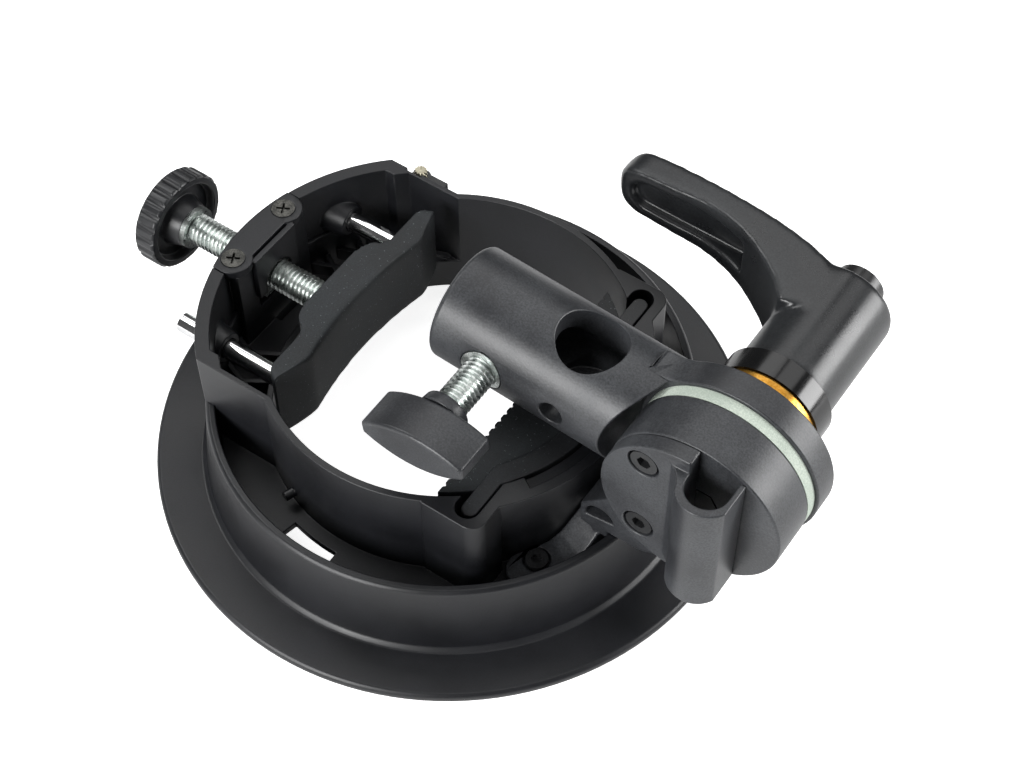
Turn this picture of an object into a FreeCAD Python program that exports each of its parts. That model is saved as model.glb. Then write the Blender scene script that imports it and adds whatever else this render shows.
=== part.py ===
import FreeCAD, Part
import math
import os

# Bracket that holds a portable flash head in a clamping ring.  A bayonet
# dish below the ring takes reflectors, and a tilting head at its side takes
# a light stand.  Millimetres.  The ring's axis is Z, the dish's open face
# lies on z = 0, the clamp knob is at -X and the tilting head at +X.

Vector = FreeCAD.Vector
X_WAY = Vector(1, 0, 0)
Y_WAY = Vector(0, 1, 0)
Z_WAY = Vector(0, 0, 1)

# Clearances.
RUNNING = 0.05
SEAT = 0.15
APART = 0.3

# Bayonet dish.
flange_radius = 74.0
flange_thickness = 3.0
flange_edge = 0.8
well_radius = 57.0
wall_foot_radius = 61.4
rim_radius = 59.3
dish_height = 24.3
lip_inner_radius = 50.2
lip_thickness = 2.6
lip_sweep = 46.0
lip_centres = (-80.0, 40.0, 160.0)
ledge_width = 2.0
ledge_thickness = 2.0

# Ring body: floor, ring wall and the box that houses the clamp.
floor_top = 13.0
floor_thickness = 2.0
slot_inner_radius = 52.0
window_inner_radius = 49.3
window_sweep = 15.0
window_centres = (-95.5, 55.5, 144.5)
ring_inner_radius = 43.9
ring_wall = 1.7
ring_bottom = 7.0
ring_top = 41.0
band_top = 16.8
box_half_width = 38.2
box_side_wall = 1.3
box_arc_centre_x = -10.0
box_arc_radius = 52.0
box_arc_wall = 3.5
box_start_x = -20.0
corner_chamfer = 2.6
rib_thickness = 1.4
rib_top = 17.2
block_half_width = 13.0
block_front_x = -53.7
block_top = 39.0
bulge_radius = 48.4
bulge_inner_radius = 42.7
bulge_half_angle = 41.0
pocket_half_angle = 31.0
pocket_radius = 45.8
pocket_bottom = 39.8
bump_half_width = 40.6
bump_first_x = 21.5
bump_last_x = 36.5
bump_corner = 3.9
bump_side_end_y = 31.0

# Fixed pad and its carrier.
pad_bottom = 17.5
pad_top = 39.5
carrier_inner_radius = 36.4
carrier_outer_radius = 41.6
tongue_x = 30.8
tongue_half_width = 2.0
tongue_end_y = 37.0
tongue_gap = 0.9
fixed_pad_front_x = 21.8
fixed_pad_top = 38.3
fixed_pad_end_radius = 41.2
tooth_pitch = 2.4
tooth_depth = 0.7

# Clamp drive.
screw_height = 28.8
screw_radius = 4.0
screw_neck_radius = 2.6
knob_back_x = -88.8
knob_dome = 1.0
knob_front_x = -82.5
knob_radius = 13.0
knob_cup_radius = 10.8
knob_cup_depth = 2.2
knob_hub_radius = 7.0
knob_flutes = 24
flute_radius = 1.0
collar_radius = 5.6
collar_back_x = -80.2
collar_front_x = -78.8
nut_flats = 13.0
nut_depth = 6.7
nut_back_x = -60.7
nut_front_x = -54.2
cover_thickness = 2.2
cover_screw_x = -57.5
cover_screw_y = 9.7
cover_bar_setback = 1.6
cover_lobe_radius = 4.8
cover_screw_head = 2.9
cover_screw_shank = 1.25
cover_screw_length = 8.0
cover_skirt_half_width = 7.6
cover_skirt_thickness = 1.4

# Moving pad.
pad_back_x = -35.5
pad_step = 5.0
pad_back_half_width = 10.0
pad_step_run = 10.0
pad_half_width = 31.8
pad_front_x = -26.7
pad_front_radius = 100.0
backing_thickness = 1.2
backing_half_width = 28.5
rod_spacing = 49.4
rod_height = 28.0
rod_radius = 2.55
rod_outer_x = -62.8
rod_inner_x = -27.9
rod_boss_radius = 4.0
rod_boss_base_radius = 5.6
rod_boss_end_x = -48.5
clip_thickness = 0.8
clip_radius = 4.0

# Bayonet lock.
lock_x = -38.0
lock_y = 40.4
lock_head_radius = 1.75
lock_shaft_radius = 1.2
lock_bottom = 4.0
lock_head_bottom = 30.0
lock_head_top = 39.5
lock_arm_bottom = 26.0
lock_arm_thickness = 2.0
lock_clip_height = 16.0
lock_clip_radius = 2.1
lock_spring_turns = 4
lock_spring_radius = 1.7
lock_wire_radius = 0.3
lock_wire_sides = 8

# Tilting head.  The pivot runs along Y.
pivot_x = 75.3
tube_radius = 14.05
pivot_over_ring = -0.95
pivot_z = round(ring_top + tube_radius + pivot_over_ring, 3)
fixed_disc_radius = 21.2
fixed_disc_front = -15.0
fixed_disc_back = -3.0
washer_radius = 21.1
moving_disc_radius = 22.0
moving_disc_back = 7.0
rear_boss_radius = 14.0
rear_boss_back = 12.0
brass_radius = 12.8
brass_back = 14.9
spacer_radius = 13.4
spacer_back = 21.2
bolt_radius = 4.0
bolt_head_flats = 13.0
bolt_head_height = 5.5
bolt_end = 40.0

# Arm that carries the head from the trough of the dish.
arm_inner_radius = 46.2
arm_outer_radius = 54.8
foot_height = 3.0
foot_angle = 31.0
foot_end_angle = 35.0
ramp_foot_angle = 25.0
ramp_top_angle = 10.0
ramp_top_height = 27.0
foot_screw_radius = 49.6
foot_screw_head = 2.7
foot_screw_shank = 1.5
riser_bottom = 25.2
riser_cut = 3.6

# Stand socket, along the tube from its open end to the pivot.
tube_bore = 8.1
tube_bore_depth = 42.0
tube_to_pivot = 70.9
tube_tilt = 4.1
cross_hole_radius = 8.2
cross_hole_from_end = 34.0
cross_hole_depth = 24.0
insert_radius = 5.25
clamp_hole_from_end = 14.6
spare_hole_from_end = 33.3
spare_hole_radius = 3.0
scoop_radius = 22.4
blend_radius = 14.0
scoop_growth = 3.0

# Stand clamp screw with its wing knob.
stand_screw_tip = -8.4
stand_collar_y = -26.2
stand_knob_y = -29.2
stand_knob_end = -40.0
stand_knob_half_width = 13.6
stand_knob_half_height = 5.6
stand_knob_tip_half = 1.5
stand_knob_turn = 7.0
stand_collar_radius = 6.0

# Umbrella holder on the fixed disc.
cover_plate_thickness = 4.0
cover_plate_radius = 21.0
cover_seam_x = 11.5
umbrella_x = 5.3
umbrella_radius = 4.9
umbrella_wall = 2.1
umbrella_axis_y = -20.0
umbrella_bottom = -17.5
umbrella_top = 17.5
umbrella_screw_x = -10.8
umbrella_screw_z = 11.7
umbrella_screw_head = 3.3
umbrella_screw_shank = 1.9

# Clamping lever.
lever_hub_radius = 11.8
lever_hub_front = 21.5
lever_hub_back = 52.5
lever_length = 64.0
lever_tip_half_width = 7.4
lever_root_half_width = 11.75
insert_core_radius = 6.0
insert_core_back = 44.0
lever_shoulder_front = 44.5
lever_shoulder_back = 47.0
lever_bore_clearance = 0.08
lever_cap_radius = 6.0
lever_cap_back = 58.8
lever_cap_length = 7.3
lever_shank_radius = 2.5


def polar(radius, angle, height=0.0):
    """Point at an angle in degrees about the ring's axis."""
    turn = math.radians(angle)
    return Vector(radius * math.cos(turn), radius * math.sin(turn), height)


def rod(radius, start, way, length):
    return Part.makeCylinder(radius, length, start, way)


def sleeve(outer, inner, start, way, length):
    return rod(outer, start, way, length).cut(rod(inner, start, way, length))


def block(low, high):
    """Box between two opposite corners."""
    size = high - low
    return Part.makeBox(size.x, size.y, size.z, low)


def outline(start, *steps):
    """Closed wire: a point is a straight step, a pair is an arc step."""
    edges = []
    here = start
    for step in steps:
        if isinstance(step, tuple):
            edges.append(Part.Arc(here, step[0], step[1]).toShape())
            here = step[1]
        else:
            edges.append(Part.LineSegment(here, step).toShape())
            here = step
    if here.distanceToPoint(start) > 1e-6:
        edges.append(Part.LineSegment(here, start).toShape())
    return Part.Wire(edges)


def prism(wire, sweep):
    return Part.Face(wire).extrude(sweep)


def sector(inner, outer, first, last, bottom, top):
    """Annular block between two angles about the ring's axis."""
    middle = (first + last) / 2
    wire = outline(
        polar(inner, first, bottom),
        polar(outer, first, bottom),
        (polar(outer, middle, bottom), polar(outer, last, bottom)),
        polar(inner, last, bottom),
        (polar(inner, middle, bottom), polar(inner, first, bottom)))
    return prism(wire, Vector(0, 0, top - bottom))


def hex_prism(flats, start, way, length):
    """Six-sided bar, with two flats facing +-Z or, on a Z bar, +-X."""
    side = flats / math.sqrt(3)
    across = Z_WAY if abs(way.z) < 0.5 else X_WAY
    up = way.cross(across)
    corners = []
    for index in range(6):
        turn = math.radians(60 * index)
        corners.append(start + up * (side * math.cos(turn)) + across * (side * math.sin(turn)))
    return prism(outline(*corners), way * length)


def mirrored_y(shape):
    return shape.mirror(Vector(0, 0, 0), Y_WAY)


def both_sides(shape):
    return [shape, mirrored_y(shape)]


def fused(shapes):
    return shapes[0].multiFuse(shapes[1:]).removeSplitter()


def revolved(points, way):
    """Turned part from (radius, place along the axis) points."""
    across = Z_WAY if abs(way.z) < 0.5 else X_WAY
    corners = [across * radius + way * place for radius, place in points]
    return Part.Face(outline(*corners)).revolve(Vector(0, 0, 0), way, 360)


def save(name, shape):
    shape.exportStep("parts/%s.step" % name)


def bayonet_dish():
    """Dish with an outer flange, three bayonet lips and a seat for the floor."""
    seat_height = floor_top - floor_thickness
    profile = [
        (well_radius, 0),
        (flange_radius - flange_edge, 0),
        (flange_radius, flange_edge),
        (flange_radius, flange_thickness - flange_edge),
        (flange_radius - flange_edge, flange_thickness),
        (wall_foot_radius + 1.2, flange_thickness - 0.4),
        (wall_foot_radius, flange_thickness + 0.6),
        (rim_radius, dish_height - flange_edge),
        (rim_radius - flange_edge, dish_height),
        (well_radius, dish_height)]
    pieces = [revolved(profile, Z_WAY)]
    root = well_radius + 0.4
    for centre in lip_centres:
        first = centre - lip_sweep / 2
        last = centre + lip_sweep / 2
        pieces.append(sector(lip_inner_radius, root, first, last, 0, lip_thickness))
        pieces.append(sector(well_radius - ledge_width, root, last, first + 120,
                             seat_height - ledge_thickness, seat_height))
    dish = fused(pieces)
    pin_hole = rod(lock_shaft_radius + SEAT, Vector(lock_x, lock_y, 0), Z_WAY, floor_top)
    spring_groove = rod(lock_clip_radius + APART, Vector(lock_x, lock_y, floor_top), Z_WAY, dish_height)
    nut_notch = block(Vector(-rim_radius - 1, -nut_flats / 2 - SEAT, screw_height - nut_depth),
                      Vector(-well_radius + 2, nut_flats / 2 + SEAT, dish_height + 1))
    return dish.cut(pin_hole).cut(spring_groove).cut(nut_notch)


def box_outline(half_width, radius, start_x, height):
    """Plan of the clamp box: two straight sides and one arc."""
    corner_x = box_arc_centre_x - math.sqrt(radius ** 2 - half_width ** 2)
    return outline(
        Vector(start_x, -half_width, height),
        Vector(corner_x, -half_width, height),
        (Vector(box_arc_centre_x - radius, 0, height), Vector(corner_x, half_width, height)),
        Vector(start_x, half_width, height))


def bump_outline(height):
    """Swelling of the ring wall round the end of the fixed pad, -Y side."""
    last_y = -bump_half_width
    corner = bump_corner * (1 - math.sqrt(0.5))
    return outline(
        Vector(bump_first_x, last_y, height),
        Vector(bump_last_x - bump_corner, last_y, height),
        (Vector(bump_last_x - corner, last_y + corner, height),
         Vector(bump_last_x, last_y + bump_corner, height)),
        Vector(bump_last_x, -bump_side_end_y, height),
        Vector(bump_last_x - 8, -bump_side_end_y + 5, height),
        Vector(bump_first_x - 6, last_y + 8, height))


def tongue_outline(half_width, end_y, start_y, height):
    """Finger of the pad carrier, or with a larger width its slot."""
    round_y = -(end_y - half_width)
    return outline(
        Vector(tongue_x - half_width, -start_y, height),
        Vector(tongue_x - half_width, round_y, height),
        (Vector(tongue_x, -end_y, height), Vector(tongue_x + half_width, round_y, height)),
        Vector(tongue_x + half_width, -start_y, height))


def ring_walls():
    """Solid plan of the ring, its box, its bumps and its bulged front."""
    bulge = Part.makeCone(ring_inner_radius + ring_wall, bulge_radius, ring_top - floor_top,
                          Vector(0, 0, floor_top), Z_WAY)
    bulge_wedge = sector(10, 60, -bulge_half_angle, bulge_half_angle, floor_top, ring_top)
    bump = prism(bump_outline(floor_top), Vector(0, 0, ring_top - floor_top))
    walls = [
        rod(ring_inner_radius + ring_wall, Vector(0, 0, ring_bottom), Z_WAY, ring_top - ring_bottom),
        prism(box_outline(box_half_width, box_arc_radius, box_start_x, floor_top),
              Vector(0, 0, ring_top - floor_top)),
        bulge.common(bulge_wedge)]
    return fused(walls + both_sides(bump))


def ring_voids():
    """Everything that the ring and the box are open for."""
    tall = ring_top + 1
    bore = rod(ring_inner_radius, Vector(0, 0, 0), Z_WAY, tall)
    wedge = sector(bulge_inner_radius, 60, -bulge_half_angle, bulge_half_angle, 0, tall)
    box_plan = box_outline(box_half_width - box_side_wall, box_arc_radius - box_arc_wall,
                           box_start_x, floor_top)
    chamfer_x = box_arc_centre_x - math.sqrt((box_arc_radius - box_arc_wall) ** 2
                                             - (box_half_width - box_side_wall) ** 2)
    chamfer = prism(outline(
        Vector(chamfer_x - 8, box_half_width, floor_top),
        Vector(chamfer_x - 8, box_half_width - box_side_wall - corner_chamfer, floor_top),
        Vector(chamfer_x - 0.2, box_half_width - box_side_wall - corner_chamfer, floor_top),
        Vector(chamfer_x + corner_chamfer, box_half_width - box_side_wall, floor_top),
        Vector(chamfer_x + corner_chamfer, box_half_width, floor_top)), Vector(0, 0, tall))
    box_void = prism(box_plan, Vector(0, 0, tall - floor_top)).cut(both_sides(chamfer)[0])
    box_void = box_void.cut(both_sides(chamfer)[1])
    band = rod(ring_inner_radius + ring_wall, Vector(0, 0, 0), Z_WAY, band_top)
    slot = prism(tongue_outline(tongue_half_width + tongue_gap, tongue_end_y + 1.6,
                                tongue_end_y - 13, band_top), Vector(0, 0, tall - band_top))
    pocket = sector(bulge_inner_radius - 4, pocket_radius, -pocket_half_angle, pocket_half_angle,
                    pocket_bottom, tall)
    return [bore.cut(wedge), box_void.cut(band), pocket] + both_sides(slot)


def floor_plate():
    """Floor of the trough, with the moulding windows over the bayonet lips."""
    bottom = floor_top - floor_thickness
    plate = sleeve(well_radius - 0.2, ring_inner_radius, Vector(0, 0, bottom), Z_WAY, floor_thickness)
    for lip_centre, window_centre in zip(lip_centres, window_centres):
        first = lip_centre - lip_sweep / 2 + 0.5
        last = lip_centre + lip_sweep / 2 - 0.5
        slot = sector(slot_inner_radius, well_radius + 1, first, last, bottom, floor_top)
        window = sector(window_inner_radius, well_radius + 1, window_centre - window_sweep / 2,
                        window_centre + window_sweep / 2, bottom, floor_top)
        plate = plate.cut(slot).cut(window)
    return plate


def lattice_ribs():
    """Crossed stiffening ribs on the box floor, both sides of the nut block."""
    inner = ring_inner_radius + ring_wall - 0.5
    height = rib_top - floor_top
    ribs = []
    for first_y, last_y in ((block_half_width, 21.0), (21.0, 29.0), (29.0, 36.5)):
        for start_y, end_y in ((first_y, last_y), (last_y, first_y)):
            start_x = -math.sqrt(inner ** 2 - start_y ** 2)
            end_x = box_arc_centre_x - math.sqrt((box_arc_radius - 1) ** 2 - end_y ** 2)
            along = Vector(end_x - start_x, end_y - start_y, 0)
            side = Vector(-along.y, along.x, 0).normalize() * (rib_thickness / 2)
            start = Vector(start_x, start_y, floor_top)
            ribs.append(prism(outline(start - side, start + along - side, start + along + side,
                                      start + side), Vector(0, 0, height)))
    ribs = fused(ribs)
    return both_sides(ribs)


def ring_body():
    """Ring, box and floor as one moulding, with nut block and rod bosses."""
    body = fused([ring_walls(), floor_plate()])
    for void in ring_voids():
        body = body.cut(void)
    wall_x = box_arc_centre_x - box_arc_radius
    nut_block = block(Vector(wall_x, -block_half_width, floor_top),
                      Vector(block_front_x, block_half_width, block_top))
    inside = prism(box_outline(box_half_width, box_arc_radius - 0.5, box_start_x, floor_top),
                   Vector(0, 0, ring_top - floor_top))
    additions = [nut_block.common(inside)]
    additions += [rib.common(inside) for rib in lattice_ribs()]
    boss_x = box_arc_centre_x - math.sqrt((box_arc_radius - 1) ** 2 - (rod_spacing / 2) ** 2)
    boss = Part.makeCone(rod_boss_base_radius, rod_boss_radius, rod_boss_end_x - boss_x,
                         Vector(boss_x, -rod_spacing / 2, rod_height), X_WAY)
    additions += both_sides(boss)
    arm_wall_y = box_half_width - 0.6
    arm = block(Vector(lock_x - 2.6, arm_wall_y, lock_arm_bottom),
                Vector(lock_x + 2.6, lock_y, lock_arm_bottom + lock_arm_thickness))
    arm_end = rod(2.6, Vector(lock_x, lock_y, lock_arm_bottom), Z_WAY, lock_arm_thickness)
    peg_way = polar(1, -109.5)
    peg_start = polar(ring_inner_radius + 0.5, -109.5, 16.6)
    additions += [arm, arm_end, rod(1.2, peg_start, peg_way, ring_wall + 2.2)]
    body = fused([body] + additions)
    for cut in ring_body_cuts():
        body = body.cut(cut)
    return body.removeSplitter()


def ring_body_cuts():
    """Seats for the dish, the nut, the screws, the rods and the lock pin."""
    dish_space = sleeve(rim_radius + 20, well_radius - 0.2, Vector(0, 0, 0), Z_WAY, dish_height)
    way = nut_front_x - nut_back_x
    nut_pocket = block(Vector(nut_back_x - SEAT, -nut_flats / 2 - SEAT, screw_height - nut_depth),
                       Vector(nut_back_x + way + 5, nut_flats / 2 + SEAT, block_top + 5))
    screw_hole = rod(screw_radius + 0.6, Vector(-70, 0, screw_height), X_WAY, 20)
    cuts = [dish_space, nut_pocket, screw_hole]
    cover_seat = prism(cover_plate_outline(SEAT, block_top), Vector(0, 0, 10))
    cuts.append(cover_seat)
    for side in (-1, 1):
        cuts.append(rod(cover_screw_shank + RUNNING,
                        Vector(cover_screw_x, side * cover_screw_y, block_top - 10), Z_WAY, 10))
        cuts.append(rod(rod_radius + RUNNING, Vector(-75, side * rod_spacing / 2, rod_height),
                        X_WAY, 35))
        foot = polar(foot_screw_radius, side * foot_angle)
        cuts.append(rod(foot_screw_shank + RUNNING, foot, Z_WAY, floor_top + 1))
    cuts.append(rod(lock_shaft_radius + RUNNING, Vector(lock_x, lock_y, 0), Z_WAY, ring_top))
    cuts.append(block(Vector(lock_x - 2.2, box_half_width - 0.7, lock_arm_bottom + lock_arm_thickness),
                      Vector(lock_x + 2.2, box_half_width + 4, ring_top + 1)))
    return cuts


def cover_plate_outline(margin, height):
    """Plan of the nut cover: two round lobes joined by a bar."""
    reach = cover_lobe_radius + margin
    outer_x = box_arc_centre_x - box_arc_radius - 1
    bar_reach = reach - cover_bar_setback
    bar_y = cover_screw_y - math.sqrt(reach ** 2 - bar_reach ** 2)
    return outline(
        Vector(cover_screw_x, -cover_screw_y - reach, height),
        (Vector(cover_screw_x + reach, -cover_screw_y, height),
         Vector(cover_screw_x + bar_reach, -bar_y, height)),
        Vector(cover_screw_x + bar_reach, bar_y, height),
        (Vector(cover_screw_x + reach, cover_screw_y, height),
         Vector(cover_screw_x, cover_screw_y + reach, height)),
        Vector(outer_x, cover_screw_y + reach, height),
        Vector(outer_x, -cover_screw_y - reach, height))


def nut_cover():
    """Saddle over the clamp nut, with a skirt that straddles the screw."""
    plate = prism(cover_plate_outline(0, block_top), Vector(0, 0, cover_thickness))
    limit = rod(box_arc_radius, Vector(box_arc_centre_x, 0, 0), Z_WAY, 60)
    plate = plate.common(limit)
    skirt_x = block_front_x + 0.02
    skirt = block(Vector(skirt_x, -cover_skirt_half_width, screw_height - 2),
                  Vector(skirt_x + cover_skirt_thickness, cover_skirt_half_width,
                         block_top + cover_thickness - 0.4))
    cover = fused([plate, skirt])
    cover = cover.cut(rod(screw_radius + 0.8, Vector(-65, 0, screw_height), X_WAY, 20))
    cover = cover.cut(block(Vector(-65, -screw_radius - 0.8, screw_height - 8),
                            Vector(-45, screw_radius + 0.8, screw_height)))
    for side in (-1, 1):
        top = Vector(cover_screw_x, side * cover_screw_y, block_top + cover_thickness)
        cover = cover.cut(rod(cover_screw_shank + SEAT, top, Z_WAY * -1, cover_thickness))
        cover = cover.cut(countersunk_head(top, SEAT))
    return cover


def countersunk_head(top, margin):
    return Part.makeCone(cover_screw_head + margin, cover_screw_shank + margin,
                         cover_screw_head - cover_screw_shank, top, Z_WAY * -1)


def cover_screws():
    screws = []
    for side in (-1, 1):
        top = Vector(cover_screw_x, side * cover_screw_y, block_top + cover_thickness)
        shank = rod(cover_screw_shank, top, Z_WAY * -1, cover_screw_length)
        screws.append(fused([countersunk_head(top, 0), shank]))
    return Part.makeCompound(screws)


def clamp_nut():
    start = Vector(nut_back_x, 0, screw_height)
    length = nut_front_x - nut_back_x
    nut = hex_prism(nut_flats, start, X_WAY, length)
    width = block(Vector(nut_back_x, -nut_flats / 2, 0), Vector(nut_front_x, nut_flats / 2, 60))
    nut = nut.common(width)
    return nut.cut(rod(screw_radius + RUNNING, start, X_WAY, length))


def clamp_screw():
    """Threaded rod with a turned neck that carries the pad."""
    start_x = knob_back_x + 2
    thread = rod(screw_radius, Vector(start_x, 0, screw_height), X_WAY, pad_back_x - 0.1 - start_x)
    neck = rod(screw_neck_radius, Vector(pad_back_x - 1, 0, screw_height), X_WAY,
               1 + backing_thickness + clip_thickness + 1.2)
    return fused([thread, neck])


def screw_clip():
    """Retaining ring on the screw's neck, in front of the backing plate."""
    return sleeve(clip_radius, screw_neck_radius + 0.02,
                  Vector(pad_back_x + backing_thickness + 0.1, 0, screw_height), X_WAY,
                  clip_thickness)


def clamp_knob():
    """Fluted cup-shaped knob on the clamp screw."""
    profile = [
        (0, knob_back_x - knob_dome),
        (knob_radius - 4, knob_back_x - 0.4),
        (knob_radius - 0.8, knob_back_x),
        (knob_radius, knob_back_x + 0.8),
        (knob_radius, knob_front_x - 0.6),
        (knob_radius - 0.6, knob_front_x),
        (knob_cup_radius, knob_front_x),
        (knob_cup_radius - 0.6, knob_front_x - knob_cup_depth),
        (knob_hub_radius, knob_front_x - knob_cup_depth),
        (collar_radius, collar_back_x),
        (0, collar_back_x)]
    knob = revolved(profile, X_WAY)
    flutes = []
    for index in range(knob_flutes):
        turn = 2 * math.pi * index / knob_flutes
        reach = knob_radius + flute_radius * 0.45
        flutes.append(rod(flute_radius, Vector(knob_back_x - 2, reach * math.cos(turn),
                                               reach * math.sin(turn)), X_WAY, 12))
    knob = knob.cut(Part.makeCompound(flutes))
    knob.translate(Vector(0, 0, screw_height))
    return knob.cut(clamp_screw())


def knob_collar():
    return sleeve(collar_radius, screw_radius + 0.02, Vector(collar_back_x, 0, screw_height),
                  X_WAY, collar_front_x - collar_back_x)


def pad_block():
    """Whole moving pad with its backing, as one bar along Z."""
    half_run = pad_step_run / 2
    half_step = pad_step / 2
    radius = (half_run ** 2 + half_step ** 2) / (2 * half_step)
    turn = math.asin(half_run / radius) / 2
    bow_x = radius * (1 - math.cos(turn))
    bow_y = radius * math.sin(turn)
    back_y = pad_back_half_width
    wing_y = back_y + pad_step_run
    wing_x = pad_back_x + pad_step
    end_y = pad_half_width
    front_end_x = pad_front_x + pad_front_radius - math.sqrt(pad_front_radius ** 2 - (end_y - 3) ** 2)

    def at(place_x, place_y):
        return Vector(place_x, place_y, pad_bottom)

    wire = outline(
        at(pad_back_x, -back_y),
        (at(pad_back_x + bow_x, -back_y - bow_y), at(pad_back_x + half_step, -back_y - half_run)),
        (at(wing_x - bow_x, -wing_y + bow_y), at(wing_x, -wing_y)),
        at(wing_x, -end_y + 3),
        (at((wing_x + front_end_x) / 2, -end_y), at(front_end_x, -end_y + 3)),
        (at(pad_front_x, 0), at(front_end_x, end_y - 3)),
        (at((wing_x + front_end_x) / 2, end_y), at(wing_x, end_y - 3)),
        at(wing_x, wing_y),
        (at(wing_x - bow_x, wing_y - bow_y), at(pad_back_x + half_step, back_y + half_run)),
        (at(pad_back_x + bow_x, back_y + bow_y), at(pad_back_x, back_y)))
    return prism(wire, Vector(0, 0, pad_top - pad_bottom))


def backing_slab():
    """The strip along the back of the pad that the plate takes up."""
    bar = pad_block()
    front = bar.copy()
    front.translate(Vector(backing_thickness, 0, 0))
    span = block(Vector(-60, -backing_half_width, pad_bottom + 0.6),
                 Vector(0, backing_half_width, pad_top - 0.6))
    return bar.cut(front).common(span)


def pad_backing():
    """Stiff plate behind the rubber, drilled for the screw and the rods."""
    plate = backing_slab()
    plate = plate.cut(rod(screw_neck_radius + RUNNING, Vector(-60, 0, screw_height), X_WAY, 60))
    for side in (-1, 1):
        plate = plate.cut(rod(rod_radius + 0.02, Vector(-60, side * rod_spacing / 2, rod_height),
                              X_WAY, 60))
    return plate


def clamp_pad():
    """Rubber pad, hollowed where the screw and the rods end."""
    pad = pad_block().cut(backing_slab())
    pad = pad.cut(rod(clip_radius + APART, Vector(pad_back_x, 0, screw_height), X_WAY, 5.5))
    wing_x = pad_back_x + pad_step
    for side in (-1, 1):
        pad = pad.cut(rod(clip_radius + APART, Vector(wing_x, side * rod_spacing / 2, rod_height),
                          X_WAY, rod_inner_x + 0.4 - wing_x))
    return pad


def guide_rods():
    rods = []
    for side in (-1, 1):
        start = Vector(rod_outer_x, side * rod_spacing / 2, rod_height)
        rods.append(rod(rod_radius, start, X_WAY, rod_inner_x - rod_outer_x))
    return Part.makeCompound(rods)


def rod_clips():
    clips = []
    for side in (-1, 1):
        start = Vector(pad_back_x + pad_step + backing_thickness + 0.05, side * rod_spacing / 2,
                       rod_height)
        clips.append(sleeve(clip_radius, rod_radius + 0.02, start, X_WAY, clip_thickness))
    return Part.makeCompound(clips)


def pad_carrier():
    """Curved strip whose ends bend into the two slots of the ring."""
    height = pad_top - pad_bottom
    bend_angle = 40.0
    strip = sector(carrier_inner_radius, carrier_outer_radius, -bend_angle, bend_angle,
                   pad_bottom, pad_top)
    inner_y = carrier_inner_radius * math.sin(math.radians(bend_angle)) - 1.0
    tongue = prism(tongue_outline(tongue_half_width, tongue_end_y, inner_y, pad_bottom),
                   Vector(0, 0, height))
    limit = block(Vector(tongue_x - tongue_half_width, -60, 0), Vector(60, 60, 60))
    return fused([strip.common(limit)] + both_sides(tongue))


def fixed_pad():
    """Rubber block with a straight toothed front, opposite the moving pad."""
    height = fixed_pad_top - pad_bottom
    whole = rod(fixed_pad_end_radius, Vector(0, 0, pad_bottom), Z_WAY, height)
    front = block(Vector(fixed_pad_front_x, -60, 0), Vector(60, 60, 60))
    back = tongue_x - tongue_half_width - APART
    ends = block(Vector(0, -60, 0), Vector(back, 60, 60))
    arc = rod(carrier_inner_radius - APART, Vector(0, 0, pad_bottom), Z_WAY, height)
    pad = fused([whole.common(ends), arc]).common(front)
    count = int(2 * 34 / tooth_pitch)
    grooves = []
    for index in range(count):
        place = (index - (count - 1) / 2) * tooth_pitch
        grooves.append(prism(outline(
            Vector(fixed_pad_front_x - 0.1, place - tooth_pitch * 0.28, pad_bottom),
            Vector(fixed_pad_front_x + tooth_depth, place, pad_bottom),
            Vector(fixed_pad_front_x - 0.1, place + tooth_pitch * 0.28, pad_bottom)),
            Vector(0, 0, height)))
    return pad.cut(Part.makeCompound(grooves))


def arm_section(angle, bottom, top):
    """Upright rectangle across the arm at one angle about the ring."""
    return outline(polar(arm_inner_radius, angle, bottom), polar(arm_outer_radius, angle, bottom),
                   polar(arm_outer_radius, angle, top), polar(arm_inner_radius, angle, top))


def bracket_arm(side):
    """One leg of the bracket: a flat foot and a ramp that climbs to the riser."""
    foot_top = floor_top + foot_height
    foot = sector(arm_inner_radius, arm_outer_radius, side * ramp_foot_angle,
                  side * foot_end_angle, floor_top, foot_top)
    end = polar((arm_inner_radius + arm_outer_radius) / 2, side * foot_end_angle, floor_top)
    foot_end = rod((arm_outer_radius - arm_inner_radius) / 2, end, Z_WAY, foot_height)
    steps = 4
    sections = []
    for index in range(steps + 1):
        share = index / steps
        angle = side * (ramp_foot_angle + (ramp_top_angle - ramp_foot_angle) * share)
        rise = 0.5 - 0.5 * math.cos(math.pi * share)
        top = foot_top + (ramp_top_height - foot_top) * rise
        sections.append(arm_section(angle, floor_top, top))
    ramp = Part.makeLoft(sections, True, True)
    return [foot, foot_end, ramp]


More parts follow.
